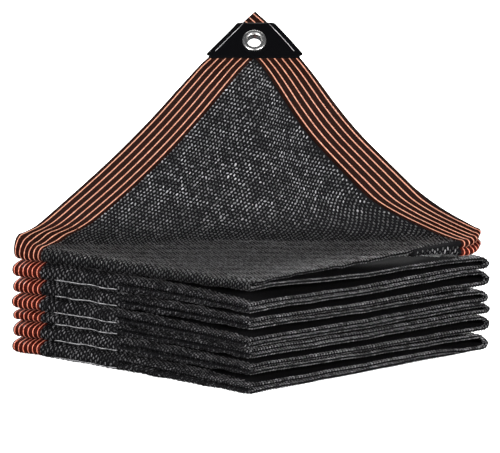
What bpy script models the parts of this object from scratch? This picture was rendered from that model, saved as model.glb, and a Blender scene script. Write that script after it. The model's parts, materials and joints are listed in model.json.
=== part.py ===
"""A knitted shade cloth, folded to and fro into a square pile, with the far corner of its top leaf lifted.

The cloth is a long strip. It starts at the far side of the pile, runs to a fold on the near left
face, back to a fold on the far right side, and so on down to the surface it lies on. All sizes are
in millimetres and are turned into metres where a mesh is made.

Pile coordinates: depth runs from the near corner to the right corner, width from the near corner to
the left corner. The origin is at the centre of the pile's underside, with the near corner towards -Y.
"""
import math
from collections import namedtuple

import bmesh
import bpy
from mathutils import Matrix, Vector

MM = 0.001

# The pile
DEPTH = 340.0
WIDTH = 330.0
TURN = math.radians(45.9)
CLOTH = 3.6
HALF_CLOTH = CLOTH / 2
LAST_LEAF_END = 262.0
SHELF_HEIGHT = CLOTH * 1.5 + 1.0
SHELF_FALL_START = 268.0
SHELF_FALL_END = 316.0

# The folds, from the top down: underside and top at both ends of the fold, how far it stands out,
# and how far its middle rises above the straight line between its ends
Fold = namedtuple("Fold", "low_near high_near low_left high_left reach low_rise high_rise")
FRONT_FOLDS = (
    Fold(103.2, 112.6, 94.2, 109.6, reach=-1.0, low_rise=0.0, high_rise=0.0),
    Fold(80.8, 89.6, 76.2, 92.8, reach=1.0, low_rise=2.2, high_rise=5.2),
    Fold(64.2, 73.2, 60.2, 75.0, reach=0.0, low_rise=2.0, high_rise=4.2),
    Fold(46.2, 54.2, 44.8, 59.0, reach=1.5, low_rise=1.6, high_rise=4.0),
    Fold(35.2, 43.8, 33.0, 43.6, reach=-1.0, low_rise=1.6, high_rise=2.6),
    Fold(19.2, 28.4, 16.0, 31.8, reach=0.5, low_rise=1.1, high_rise=3.0),
    Fold(0.0, 9.2, 0.0, 14.8, reach=1.0, low_rise=0.0, high_rise=4.6),
)
BACK_FOLDS = (
    Fold(82.2, 94.4, 83.0, 95.0, reach=6.0, low_rise=0.0, high_rise=0.0),
    Fold(64.8, 81.2, 66.0, 80.0, reach=6.5, low_rise=0.0, high_rise=0.0),
    Fold(48.2, 61.0, 49.0, 62.0, reach=4.5, low_rise=0.0, high_rise=0.0),
    Fold(36.4, 47.2, 37.0, 48.0, reach=6.5, low_rise=0.0, high_rise=0.0),
    Fold(19.6, 35.4, 20.0, 34.0, reach=7.0, low_rise=0.0, high_rise=0.0),
    Fold(0.0, 16.2, 0.0, 17.0, reach=5.0, low_rise=0.0, high_rise=0.0),
)
DROOP = 0.42
DROOP_FROM = 5.0

# Gentle waves in the leaves, growing with the height above the surface
WAVE_HEIGHT = 1.3
WAVE_FULL_AT = 100.0
WAVES_ACROSS = 1.4
WAVES_ALONG = 1.1
WAVE_START_ACROSS = 0.6
WAVE_START_ALONG = 1.1
WAVE_EASE = 60.0

# The lifted half of the top leaf
CREASE_HALF = 18.0
LIFT_ANGLE = math.radians(80.0)
PATCH_ANGLE = math.radians(50.0)
LEAN_BACK_START = 135.0
LEAN_BACK_END = 172.0
LIFT_STEP = 2.0
CORNER_SHIFT = 7.4
LEFT_PULL = 13.0
LEFT_PULL_BEND = 0.8
RIGHT_PULL = 30.0
RIGHT_PULL_START = -12.0
RIGHT_PULL_FULL = 40.0
RIGHT_PULL_FADE = 90.0
PULL_INNER_LEAST = 20.0
TOP_RISE_RIGHT = 2.6

# The roll under the right corner of the top leaf
ROLL_START = 236.0
ROLL_SMALL = 2.3
ROLL_LARGE = 7.6
ROLL_UNDER = 34.0
ROLL_UNDER_START = 0.2
ROLL_ANGLES = (0.0, 45.0, 90.0, 135.0, 180.0)
ROLL_FLAT = 0.75

# The edge tape, folded over the cloth's edge
TAPE_WIDTH = 39.0
TAPE_ACROSS = TAPE_WIDTH / math.cos(TURN)
TAPE_WALL = 0.7
TAPE_MIDDLE = HALF_CLOTH - TAPE_WALL / 2
TONGUE = 1.0
TONGUE_SHORT = 1.6
GAP = 0.4
SEAM = 0.9
STEP = 0.1
THIN = TONGUE / CLOTH
END_TAPE_EDGE = DEPTH - TAPE_WIDTH - SEAM
SIDE_TAPE_EDGE = WIDTH - TAPE_WIDTH - SEAM

# The corner patch and its eyelet, on the flat top of the lifted corner
PATCH_WALL = 0.8
PATCH_MIDDLE = HALF_CLOTH + GAP + PATCH_WALL / 2
PATCH_LOW = 182.5
PATCH_HIGH = 221.3
PATCH_SIDE_GAP = 0.5
PATCH_ROUND_STEPS = 5
PATCH_ROWS = 5
EYELET_AT = 200.2
EYELET_HOLE = 7.1
EYELET_BARREL = 7.8
EYELET_FLANGE = 12.2
EYELET_STEPS = 28
WASHER = 0.8
WASHER_BEVEL = 0.5
WASHER_INSET = 0.4
HOLE_RADIUS = 8.2
HOLE_SIDES = 24
HOLE_LENGTH = 30.0
MERGE = 0.01

# The eyelet's curves: distance from the hole's edge or the flange's rim, and from the seat
CurvePoint = namedtuple("CurvePoint", "out up")
LIP_CURVE = (CurvePoint(2.6, 0.0), CurvePoint(2.4, -0.5), CurvePoint(1.2, -0.8), CurvePoint(0.4, -0.5),
             CurvePoint(0.0, 0.3))
MOUTH_CURVE = (CurvePoint(0.0, -0.3), CurvePoint(0.3, 0.7), CurvePoint(1.0, 1.3))
RIM_CURVE = (CurvePoint(-2.7, 1.6), CurvePoint(-1.2, 1.3), CurvePoint(-0.2, 0.7), CurvePoint(0.0, 0.0))

# Stations along the width of the cloth and through its folds
EDGE_ROUND = ((0.0, 0.45), (1.0, 0.85), (3.0, 1.0))
INNER_COLUMNS = 9
FOLD_ANGLES = (54.0, 18.0, -18.0, -54.0)
LEAF_STEPS = (1 / 3, 2 / 3)
SHELF_STEPS = (0.05, 0.11, 0.17, 0.23, 0.6)
TOP_LEAF_ROWS = 15
TOP_LEAF_START = 12.0
LAST_LEAF = 2 * len(FRONT_FOLDS) - 1

Finish = namedtuple("Finish", "name color roughness metallic")
NET = Finish("shade_net", (0.035, 0.034, 0.037), 0.5, 0.0)
TAPE = Finish("striped_tape", (0.30, 0.09, 0.05), 0.6, 0.0)
PLASTIC = Finish("patch_plastic", (0.010, 0.009, 0.010), 0.3, 0.0)
METAL = Finish("eyelet_metal", (0.62, 0.61, 0.60), 0.28, 1.0)


def mix(a, b, share):
    return a + (b - a) * share


def ramp(low, high, value):
    """0 below low and 1 above high, with a smooth rise between."""
    share = min(1.0, max(0.0, (value - low) / (high - low)))
    return share * share * (3 - 2 * share)


def flat_place(depth, width):
    """The point over which a spot of the pile lies, in the object's own X and Y."""
    across = depth - DEPTH / 2
    along = width - WIDTH / 2
    return Vector((
        across * math.cos(TURN) - along * math.sin(TURN),
        across * math.sin(TURN) + along * math.cos(TURN),
        0.0,
    ))


FAR_CORNER = flat_place(DEPTH, WIDTH).y


def wave(depth, width, height):
    strength = WAVE_HEIGHT * min(1.0, max(0.0, height) / WAVE_FULL_AT)
    across = math.sin(2 * math.pi * WAVES_ACROSS * depth / DEPTH + WAVE_START_ACROSS)
    along = math.sin(2 * math.pi * WAVES_ALONG * width / WIDTH + WAVE_START_ALONG)
    return strength * across * along


def fold_place(fold, at_front, width, angle):
    """Depth and height of the cloth's middle in a fold, from +90 degrees on top to -90 below."""
    along = width / WIDTH
    rise = math.sin(math.pi * min(1.0, max(0.0, along)))
    low = mix(fold.low_near, fold.low_left, along) + fold.low_rise * rise
    high = mix(fold.high_near, fold.high_left, along) + fold.high_rise * rise
    radius = (high - low - CLOTH) / 2
    turn = math.radians(angle)
    sag = DROOP * max(0.0, 2 * radius - DROOP_FROM) * (1 + math.sin(turn)) / 2
    out = fold.reach - HALF_CLOTH - radius + radius * math.cos(turn) - sag
    height = (low + high) / 2 + radius * math.sin(turn)
    return (-out if at_front else DEPTH + out), height


def shelf(depth):
    """The lowest that the last leaf but one may be, where it lies over the end of the last one."""
    return mix(SHELF_HEIGHT, HALF_CLOTH, ramp(SHELF_FALL_START, SHELF_FALL_END, depth))


def heading(rise):
    """The slope of the top leaf at a distance behind its crease."""
    up = min(1.0, max(0.0, (rise + CREASE_HALF) / (2 * CREASE_HALF)))
    back = min(1.0, max(0.0, (rise - LEAN_BACK_START) / (LEAN_BACK_END - LEAN_BACK_START)))
    return LIFT_ANGLE * up + (PATCH_ANGLE - LIFT_ANGLE) * back


def lifted_profile(rise):
    """How far back and up the leaf has gone at that distance, measured from where the crease starts."""
    back = -CREASE_HALF
    up = 0.0
    done = -CREASE_HALF
    while done < rise - 1e-9:
        step = min(LIFT_STEP, rise - done)
        slope = heading(done + step / 2)
        back += step * math.cos(slope)
        up += step * math.sin(slope)
        done += step
    return back, up


def lifted(spot, height):
    """A spot of the top leaf, taken from its lying place to the lifted one."""
    rise = spot.y
    if rise <= -CREASE_HALF:
        return Vector((spot.x, spot.y, height))
    back, up = lifted_profile(rise)
    share = max(0.0, rise) / FAR_CORNER
    left_inner = max(PULL_INNER_LEAST, (FAR_CORNER - rise) / math.tan(TURN) - TAPE_ACROSS)
    right_inner = max(PULL_INNER_LEAST, (FAR_CORNER - rise) * math.tan(TURN) - TAPE_ACROSS)
    left = LEFT_PULL * math.sin(math.pi * share ** LEFT_PULL_BEND) * ramp(0.0, left_inner, -spot.x)
    right = RIGHT_PULL * ramp(RIGHT_PULL_START, RIGHT_PULL_FULL, rise)
    right *= 1 - ramp(RIGHT_PULL_FADE, FAR_CORNER, rise)
    sideways = CORNER_SHIFT * share + left - right * ramp(0.0, right_inner, spot.x)
    return Vector((spot.x + sideways, back, height + up))


def top_leaf(depth, width):
    start, height = fold_place(FRONT_FOLDS[0], True, width, 90.0)
    height += TOP_RISE_RIGHT * ramp(0.0, DEPTH / 2, depth) + wave(depth, width, height)
    height -= wave(start, width, height) * (1 - ramp(0.0, WAVE_EASE, depth - start))
    return lifted(flat_place(depth, width), height)


def roll_radius(depth):
    return mix(ROLL_SMALL, ROLL_LARGE, ramp(ROLL_START, DEPTH, depth))


def rolled_under(depth, angle, under):
    """A spot of the top leaf's near right edge, rolled down and under by that angle and distance."""
    radius = roll_radius(depth)
    under *= mix(ROLL_UNDER_START, 1.0, ramp(ROLL_START, DEPTH, depth))
    edge = top_leaf(depth, 0.0)
    out = ROLL_FLAT * radius * math.sin(angle) - under
    side = flat_place(depth, -1.0) - flat_place(depth, 0.0)
    return edge + side * out - Vector((0.0, 0.0, radius * (1 - math.cos(angle))))


Row = namedtuple("Row", "kind leaf share")


def strip_rows():
    """The rows across the strip, from the free end of the top leaf to the end of the last leaf."""
    rows = []
    for depth in (DEPTH - TONGUE_SHORT, DEPTH - TAPE_WIDTH / 2, END_TAPE_EDGE + STEP, END_TAPE_EDGE):
        rows.append(Row("top", 0, depth))
    for step in range(1, TOP_LEAF_ROWS):
        rows.append(Row("top", 0, mix(END_TAPE_EDGE, TOP_LEAF_START, step / TOP_LEAF_ROWS)))
    for leaf in range(1, LAST_LEAF + 1):
        for angle in (90.0,) + FOLD_ANGLES + (-90.0,):
            rows.append(Row("fold", leaf - 1, angle))
        for share in SHELF_STEPS if leaf == LAST_LEAF - 1 else LEAF_STEPS:
            rows.append(Row("leaf", leaf, share))
    rows.append(Row("leaf", LAST_LEAF, 1.0))
    return rows


def strip_place(row, width):
    """Where the middle of the cloth lies, for one row across the strip."""
    if row.kind == "top":
        return top_leaf(row.share, width)
    if row.kind == "fold":
        at_front = row.leaf % 2 == 0
        fold = FRONT_FOLDS[row.leaf // 2] if at_front else BACK_FOLDS[row.leaf // 2]
        depth, height = fold_place(fold, at_front, width, row.share)
    else:
        from_front = row.leaf % 2 == 1
        fold = FRONT_FOLDS[row.leaf // 2] if from_front else BACK_FOLDS[row.leaf // 2 - 1]
        depth, height = fold_place(fold, from_front, width, -90.0)
        if row.leaf == LAST_LEAF:
            end_depth, end_height = LAST_LEAF_END, height
        else:
            other = BACK_FOLDS[row.leaf // 2] if from_front else FRONT_FOLDS[row.leaf // 2]
            end_depth, end_height = fold_place(other, not from_front, width, 90.0)
        depth = mix(depth, end_depth, row.share)
        height = mix(height, end_height, row.share)
        if row.leaf == LAST_LEAF - 1:
            height = max(height, shelf(depth))
    spot = flat_place(depth, width)
    if row.kind == "fold" and row.leaf == 0:
        share = (1 + math.sin(math.radians(row.share))) / 2
        lying = Vector((spot.x, spot.y, height))
        return lying.lerp(lifted(spot, height), share)
    return Vector((spot.x, spot.y, height + wave(depth, width, height - CLOTH)))


def width_columns():
    """Places across the width with the share of the cloth's thickness there."""
    columns = list(EDGE_ROUND)
    first = EDGE_ROUND[-1][0]
    for step in range(1, INNER_COLUMNS + 1):
        columns.append((mix(first, SIDE_TAPE_EDGE, step / INNER_COLUMNS), 1.0))
    for width in (SIDE_TAPE_EDGE + STEP, WIDTH - TAPE_WIDTH / 2, WIDTH - TONGUE_SHORT):
        columns.append((width, THIN))
    return columns


def is_rolled(row):
    return row.kind == "top" and row.share >= ROLL_START


def thickness_share(row, width, share):
    """The share of the cloth's thickness: thin in the end tape, and full where the edge is rolled."""
    if row.kind == "top" and row.share > END_TAPE_EDGE + STEP / 2:
        return THIN
    if is_rolled(row) and width <= EDGE_ROUND[-1][0]:
        return 1.0
    return share


def finish(spec):
    material = bpy.data.materials.new(spec.name)
    material.use_nodes = True
    shader = material.node_tree.nodes["Principled BSDF"]
    shader.inputs["Base Color"].default_value = (*spec.color, 1.0)
    shader.inputs["Roughness"].default_value = spec.roughness
    shader.inputs["Metallic"].default_value = spec.metallic
    return material


def object_from(mesh_data, name, collection, material):
    mesh = bpy.data.meshes.new(name)
    mesh_data.to_mesh(mesh)
    mesh_data.free()
    piece = bpy.data.objects.new(name, mesh)
    collection.objects.link(piece)
    mesh.materials.append(material)
    return piece


def tiles(sheet, corners):
    """Two triangles over four corners, split along the diagonal that runs more with the crease."""
    near_left, near_right, far_right, far_left = corners
    one = far_right.co - near_left.co
    other = far_left.co - near_right.co
    if abs(one.x) * other.length > abs(other.x) * one.length:
        sheet.faces.new((near_left, near_right, far_right))
        sheet.faces.new((near_left, far_right, far_left))
    else:
        sheet.faces.new((near_left, near_right, far_left))
        sheet.faces.new((near_right, far_right, far_left))


def surface(rows):
    """An open surface through rows of points, and its vertices by row."""
    sheet = bmesh.new()
    grid = [[sheet.verts.new(point * MM) for point in row] for row in rows]
    for upper, lower in zip(grid, grid[1:]):
        for i in range(len(upper) - 1):
            tiles(sheet, (upper[i], lower[i], lower[i + 1], upper[i + 1]))
    return sheet, grid


def thicken(piece, thickness, group=""):
    solid = piece.modifiers.new("Thickness", "SOLIDIFY")
    solid.thickness = thickness * MM
    solid.offset = 0.0
    solid.vertex_group = group


def cut(piece, cutter):
    hole = piece.modifiers.new("Eyelet hole", "BOOLEAN")
    hole.operation = "DIFFERENCE"
    hole.object = cutter


def net_panel(collection, material, cutter):
    rows = strip_rows()
    columns = width_columns()
    sheet, grid = surface([[strip_place(row, width) for width, _ in columns] for row in rows])
    shares = {}
    for row, line in zip(rows, grid):
        for (width, share), vertex in zip(columns, line):
            shares[vertex] = thickness_share(row, width, share)

    rolled = [i for i, row in enumerate(rows) if is_rolled(row)]
    edge = [grid[i][0] for i in rolled]
    for angle, under in roll_stations()[1:]:
        line = [sheet.verts.new(rolled_under(rows[i].share, angle, under) * MM) for i in rolled]
        for k in range(len(line) - 1):
            tiles(sheet, (edge[k], line[k], line[k + 1], edge[k + 1]))
        for i, vertex in zip(rolled, line):
            shares[vertex] = thickness_share(rows[i], 0.0, 1.0)
        edge = line

    sheet.verts.index_update()
    weights = {vertex.index: share for vertex, share in shares.items()}
    bmesh.ops.recalc_face_normals(sheet, faces=sheet.faces)
    panel = object_from(sheet, "net_panel", collection, material)
    group = panel.vertex_groups.new(name="thickness")
    for index, share in weights.items():
        group.add([index], share, "REPLACE")
    thicken(panel, CLOTH, group.name)
    cut(panel, cutter)


def roll_stations():
    """Angle of the roll and distance under it, from the edge inwards."""
    turns = [(math.radians(angle), 0.0) for angle in ROLL_ANGLES]
    return turns + [(math.pi, ROLL_UNDER / 2), (math.pi, ROLL_UNDER)]


def upper_sides(rows):
    """The upper side at each point of a grid, from its neighbours in both directions."""
    sides = []
    for i, row in enumerate(rows):
        before = rows[max(0, i - 1)]
        after = rows[min(len(rows) - 1, i + 1)]
        line = []
        for k in range(len(row)):
            over = row[min(len(row) - 1, k + 1)] - row[max(0, k - 1)]
            line.append(over.cross(after[k] - before[k]).normalized())
        sides.append(line)
    return sides


def folded_tape(rows, name, collection, material):
    """A tape folded over an edge, from rows of the cloth's middle with the edge last."""
    folded = []
    for row, sides in zip(rows, upper_sides(rows)):
        above = [point + side * TAPE_MIDDLE for point, side in zip(row, sides)]
        below = [point - side * TAPE_MIDDLE for point, side in zip(row, sides)]
        folded.append(above + below[::-1])
    sheet, _ = surface(folded)
    bmesh.ops.recalc_face_normals(sheet, faces=sheet.faces)
    tape = object_from(sheet, name, collection, material)
    thicken(tape, TAPE_WALL)
    return tape


def edge_tape_side(collection, material):
    widths = (WIDTH - TAPE_WIDTH, WIDTH - TAPE_WIDTH / 2, WIDTH - TAPE_WALL / 2)
    rows = [Row("top", 0, END_TAPE_EDGE - GAP)]
    rows += [row for row in strip_rows() if row.kind != "top" or row.share < END_TAPE_EDGE]
    points = [[strip_place(row, width) for width in widths] for row in rows]
    folded_tape(points, "edge_tape_side", collection, material)


def edge_tape_end(collection, material, cutter):
    depths = (DEPTH - TAPE_WIDTH, DEPTH - TAPE_WIDTH / 2, DEPTH - TAPE_WALL / 2)
    points = []
    for angle, under in reversed(roll_stations()):
        points.append([rolled_under(depth, angle, under) for depth in depths])
    for width in [width for width, _ in width_columns()[1:-1]] + [WIDTH - TAPE_WALL / 2]:
        points.append([top_leaf(depth, width) for depth in depths])
    tape = folded_tape(points, "edge_tape_end", collection, material)
    cut(tape, cutter)


def patch_frame():
    """The plane of the lifted corner at the eyelet: its centre, slope and face directions."""
    centre = lifted(Vector((0.0, EYELET_AT, 0.0)), top_leaf_height())
    slope = Vector((0.0, math.cos(PATCH_ANGLE), math.sin(PATCH_ANGLE)))
    face = Vector((0.0, -math.sin(PATCH_ANGLE), math.cos(PATCH_ANGLE)))
    return centre, slope, face


def top_leaf_height():
    """The lying height of the top leaf near its far corner, before it is lifted."""
    spot = top_leaf(DEPTH - TAPE_WIDTH / 2, WIDTH - TAPE_WIDTH / 2)
    rise = flat_place(DEPTH - TAPE_WIDTH / 2, WIDTH - TAPE_WIDTH / 2).y
    return spot.z - lifted_profile(rise)[1]


def frame_matrix(centre, slope, face):
    side = slope.cross(face)
    turn = Matrix((side, slope, face)).transposed().to_4x4()
    return Matrix.Translation(centre * MM) @ turn


def cloth_edges(rise):
    """The left and right edges of the lifted leaf at that distance behind the crease."""
    left = Vector((-(FAR_CORNER - rise) / math.tan(TURN), rise, 0.0))
    right = Vector(((FAR_CORNER - rise) * math.tan(TURN), rise, 0.0))
    return lifted(left, 0.0).x, lifted(right, 0.0).x


def patch_ring(rise, frame):
    """The middle of the patch's wall around the cloth, at that distance behind the crease."""
    turn = frame.to_3x3()
    middle = frame.translation / MM + turn.col[1] * (rise - EYELET_AT)
    left, right = cloth_edges(rise)
    ring = []
    for side, edge in ((1, right + PATCH_SIDE_GAP), (-1, left - PATCH_SIDE_GAP)):
        for step in range(PATCH_ROUND_STEPS):
            angle = side * math.pi * (0.5 - step / (PATCH_ROUND_STEPS - 1))
            out = edge + side * PATCH_MIDDLE * math.cos(angle)
            spot = Vector((out, middle.y, middle.z))
            ring.append(spot + turn.col[2] * (PATCH_MIDDLE * math.sin(angle)))
    return ring + [ring[0]]


def corner_patch(collection, material, cutter, frame):
    steps = [step / (PATCH_ROWS - 1) for step in range(PATCH_ROWS)]
    sheet, _ = surface([patch_ring(mix(PATCH_LOW, PATCH_HIGH, step), frame) for step in steps])
    bmesh.ops.remove_doubles(sheet, verts=sheet.verts, dist=MERGE * MM)
    bmesh.ops.recalc_face_normals(sheet, faces=sheet.faces)
    patch = object_from(sheet, "corner_patch", collection, material)
    thicken(patch, PATCH_WALL)
    cut(patch, cutter)


def turned(profile, name, collection, material, frame):
    """A ring turned from a closed profile of radius and height."""
    ring = bmesh.new()
    points = [ring.verts.new(Vector((radius, 0.0, height)) * MM) for radius, height in profile]
    for i, point in enumerate(points):
        ring.edges.new((point, points[(i + 1) % len(points)]))
    piece = object_from(ring, name, collection, material)
    screw = piece.modifiers.new("Turn", "SCREW")
    screw.steps = EYELET_STEPS
    screw.render_steps = EYELET_STEPS
    screw.use_merge_vertices = True
    screw.merge_threshold = MERGE * MM
    piece.matrix_world = frame
    return piece


def eyelet(collection, material, frame):
    """The flange in front of the patch, the barrel through it and the lip rolled over the washer."""
    seat = PATCH_MIDDLE + PATCH_WALL / 2 + GAP
    back = -(seat + WASHER + GAP)
    profile = [(EYELET_BARREL, seat), (EYELET_BARREL, back)]
    profile += [(EYELET_HOLE + point.out, back + point.up) for point in LIP_CURVE]
    profile += [(EYELET_HOLE + point.out, seat + point.up) for point in MOUTH_CURVE]
    profile += [(EYELET_FLANGE + point.out, seat + point.up) for point in RIM_CURVE]
    turned(profile, "eyelet", collection, material, frame)


def eyelet_washer(collection, material, frame):
    seat = -(PATCH_MIDDLE + PATCH_WALL / 2 + GAP)
    rim = EYELET_FLANGE - WASHER_INSET
    profile = ((HOLE_RADIUS, seat), (rim, seat), (rim, seat - WASHER / 2),
               (rim - WASHER_BEVEL, seat - WASHER), (HOLE_RADIUS, seat - WASHER))
    turned(profile, "eyelet_washer", collection, material, frame)


def hole_cutter(collection, frame):
    bpy.ops.mesh.primitive_cylinder_add(
        vertices=HOLE_SIDES, radius=HOLE_RADIUS * MM, depth=HOLE_LENGTH * MM)
    cutter = bpy.context.object
    cutter.name = "eyelet_hole_cutter"
    cutter.matrix_world = frame
    cutter.hide_render = True
    cutter.display_type = "WIRE"
    for owner in list(cutter.users_collection):
        owner.objects.unlink(cutter)
    collection.objects.link(cutter)
    return cutter


def main():
    for old in list(bpy.data.objects):
        bpy.data.objects.remove(old, do_unlink=True)
    cloth = bpy.data.collections.new("folded_shade_cloth")
    cutters = bpy.data.collections.new("cutters")
    bpy.context.scene.collection.children.link(cloth)
    bpy.context.scene.collection.children.link(cutters)

    frame = frame_matrix(*patch_frame())
    cutter = hole_cutter(cutters, frame)
    tape = finish(TAPE)
    metal = finish(METAL)
    net_panel(cloth, finish(NET), cutter)
    edge_tape_side(cloth, tape)
    edge_tape_end(cloth, tape, cutter)
    corner_patch(cloth, finish(PLASTIC), cutter, frame)
    eyelet(cloth, metal, frame)
    eyelet_washer(cloth, metal, frame)


main()
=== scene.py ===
"""The looks of a knitted shade cloth, folded to and fro into a pile with one corner lifted.

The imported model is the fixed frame. The cloth, its edge tapes and the corner patch are made again as
finer meshes on the same folds, with the knit, the tape's lines and the creases as real shapes. Sizes
are in millimetres and are turned into metres where a mesh is made.

Pile coordinates: depth runs from the near corner to the right corner, width from the near corner to
the left corner. Along is the distance along the cloth's middle from the free end of its top leaf.
"""
import json
import math
from collections import namedtuple

import bpy
import numpy as np
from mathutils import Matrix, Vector

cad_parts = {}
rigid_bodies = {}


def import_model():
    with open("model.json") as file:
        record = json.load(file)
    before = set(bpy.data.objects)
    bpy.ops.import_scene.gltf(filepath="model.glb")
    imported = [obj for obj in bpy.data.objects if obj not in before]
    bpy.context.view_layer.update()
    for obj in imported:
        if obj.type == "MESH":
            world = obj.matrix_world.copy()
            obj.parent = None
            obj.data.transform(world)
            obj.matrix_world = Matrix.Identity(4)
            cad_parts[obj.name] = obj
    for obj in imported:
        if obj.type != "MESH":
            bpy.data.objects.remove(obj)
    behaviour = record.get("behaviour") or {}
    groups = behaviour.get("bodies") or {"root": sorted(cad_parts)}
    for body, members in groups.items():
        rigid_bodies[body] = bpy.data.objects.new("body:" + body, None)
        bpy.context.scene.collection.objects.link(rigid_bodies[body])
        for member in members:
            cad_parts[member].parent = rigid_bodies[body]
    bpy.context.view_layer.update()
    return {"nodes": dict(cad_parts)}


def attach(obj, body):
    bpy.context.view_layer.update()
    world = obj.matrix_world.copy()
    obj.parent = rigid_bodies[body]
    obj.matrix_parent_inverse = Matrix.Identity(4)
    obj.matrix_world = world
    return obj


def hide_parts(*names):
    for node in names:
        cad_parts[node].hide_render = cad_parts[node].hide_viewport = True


MM = 0.001
SEED = 11

# The camera: a long lens at the photograph's angle, aimed so that the pile fills the frame as there
ELEVATION = math.radians(10.2)
CAMERA_DISTANCE = 16.0
FRAME_WIDTH = 0.500
SENSOR = 36.0
AIM = Vector((0.002, 0.0, 0.1263))

# The lights, in metres and watts, and the white surroundings
Light = namedtuple("Light", "name place aim_height size power")
LIGHTS = (
    Light("front_left", (-1.5, -2.6, 1.0), 0.12, (0.5, 0.5), 150.0),
    Light("front_right", (1.7, -2.4, 0.9), 0.12, (0.45, 0.45), 150.0),
    Light("back_top", (0.0, 1.6, 2.4), 0.15, (2.4, 0.6), 14.0),
    Light("back_left", (-1.7, 2.4, 0.8), 0.12, (0.5, 0.5), 120.0),
    Light("back_right", (1.9, 2.2, 0.8), 0.12, (0.5, 0.5), 120.0),
)
SKY_COLOR = (0.9, 0.93, 1.0, 1.0)
SKY_STRENGTH = 0.10
WHITE = (1.0, 1.0, 1.0, 1.0)
WHITE_STRENGTH = 1.05
FLOOR_HALF = 30000.0
FLOOR_GLOW = 0.7

# The pile, mostly as in the solids. The patch is a little larger here and stands prouder
DEPTH = 340.0
WIDTH = 330.0
TURN = math.radians(45.9)
CLOTH = 3.6
HALF_CLOTH = CLOTH / 2
LAST_LEAF_END = 262.0
SHELF_HEIGHT = CLOTH * 1.5 + 1.0
SHELF_FALL_START = 268.0
SHELF_FALL_END = 316.0

FOLD_FIELDS = "low_near high_near low_left high_left reach low_rise high_rise"
Fold = namedtuple("Fold", FOLD_FIELDS, defaults=(0.0, 0.0))
FRONT_FOLDS = (
    Fold(103.2, 112.6, 94.2, 109.6, reach=-1.0),
    Fold(80.8, 89.6, 76.2, 92.8, reach=1.0, low_rise=2.2, high_rise=5.2),
    Fold(64.2, 73.2, 60.2, 75.0, reach=0.0, low_rise=2.0, high_rise=4.2),
    Fold(46.2, 54.2, 44.8, 59.0, reach=1.5, low_rise=1.6, high_rise=4.0),
    Fold(35.2, 43.8, 33.0, 43.6, reach=-1.0, low_rise=1.6, high_rise=2.6),
    Fold(19.2, 28.4, 16.0, 31.8, reach=0.5, low_rise=1.1, high_rise=3.0),
    Fold(0.0, 9.2, 0.0, 14.8, reach=1.0, low_rise=0.0, high_rise=4.6),
)
BACK_FOLDS = (
    Fold(82.2, 94.4, 83.0, 95.0, reach=6.0),
    Fold(64.8, 81.2, 66.0, 80.0, reach=6.5),
    Fold(48.2, 61.0, 49.0, 62.0, reach=4.5),
    Fold(36.4, 47.2, 37.0, 48.0, reach=6.5),
    Fold(19.6, 35.4, 20.0, 34.0, reach=7.0),
    Fold(0.0, 16.2, 0.0, 17.0, reach=5.0),
)
DROOP = 0.42
DROOP_FROM = 5.0
WAVE_HEIGHT = 1.3
WAVE_FULL_AT = 100.0
WAVES_ACROSS = 1.4
WAVES_ALONG = 1.1
WAVE_START_ACROSS = 0.6
WAVE_START_ALONG = 1.1
WAVE_EASE = 60.0
CREASE_HALF = 18.0
LIFT_ANGLE = math.radians(80.0)
PATCH_ANGLE = math.radians(50.0)
LEAN_BACK_START = 135.0
LEAN_BACK_END = 172.0
LIFT_STEP = 0.5
LIFT_PAST = 12.0
CORNER_SHIFT = 7.4
LEFT_PULL = 13.0
LEFT_PULL_BEND = 0.8
RIGHT_PULL = 30.0
RIGHT_PULL_START = -12.0
RIGHT_PULL_FULL = 40.0
RIGHT_PULL_FADE = 90.0
PULL_INNER_LEAST = 20.0
TOP_RISE_RIGHT = 2.6
ROLL_START = 236.0
ROLL_SMALL = 2.3
ROLL_LARGE = 7.6
ROLL_UNDER = 34.0
ROLL_UNDER_START = 0.2
ROLL_FLAT = 0.75
TAPE_WIDTH = 39.0
TAPE_ACROSS = TAPE_WIDTH / math.cos(TURN)
GAP = 0.4
SEAM = 0.9
PATCH_WALL = 0.8
PATCH_PROUD = 0.6
PATCH_MIDDLE = HALF_CLOTH + GAP + PATCH_WALL / 2 + PATCH_PROUD
PATCH_LOW = 180.3
PATCH_HIGH = 221.3
PATCH_SIDE_GAP = 1.9
EYELET_AT = 200.2
EYELET_HOLE = 7.1
EYELET_FLANGE = 12.2
EYELET_CLEAR = 8.4
WASHER = 0.8
END_TAPE_EDGE = DEPTH - TAPE_WIDTH - SEAM
SIDE_TAPE_EDGE = WIDTH - TAPE_WIDTH - SEAM
TOP_LEAF_START = 12.0
LAST_LEAF = 2 * len(FRONT_FOLDS) - 1

# The finer cloth: rows through the leaves and folds, and the small crumple in it
TOP_ROWS = 120
LEAF_ROWS = 12
HALF_FOLD = (4, 8, 13, 18, 24, 31, 40, 50, 62, 76, 90)
FOLD_ANGLES = (*HALF_FOLD[::-1], 0, *(-angle for angle in HALF_FOLD))
COLUMN_STEP = 6.0
LIP_COLUMNS = 7
NET_HALF = 1.45
NET_IN_TAPE = 0.95
EDGE_STEPS = 5
ROLL_STEPS = 25
UNDER_STEPS = 6
ROLL_STATIONS = 14
ROLL_PLACE = 10.0
END_STEP = 4.0
END_STEP_FROM = 6.0
FLOOR_GAP = 0.05
Ripple = namedtuple("Ripple", "height along across start")
RIPPLES = (
    Ripple(0.34, 41.0, 63.0, 0.4),
    Ripple(0.30, -29.0, 37.0, 1.9),
    Ripple(0.22, 19.0, 31.0, 3.1),
    Ripple(0.16, 13.0, -17.0, 5.0),
)

# The left ends of the front folds, which droop like tongues, and the softer crease at the left corner
SHOULDER = 9.0
SHOULDER_FROM = 0.62
LEFT_SOFT = 4.5
LEFT_SOFT_AT = -4.0
LEFT_SOFT_HALF = 13.0
LEFT_SOFT_FROM = 120.0
LEFT_SOFT_FULL = 205.0

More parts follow.
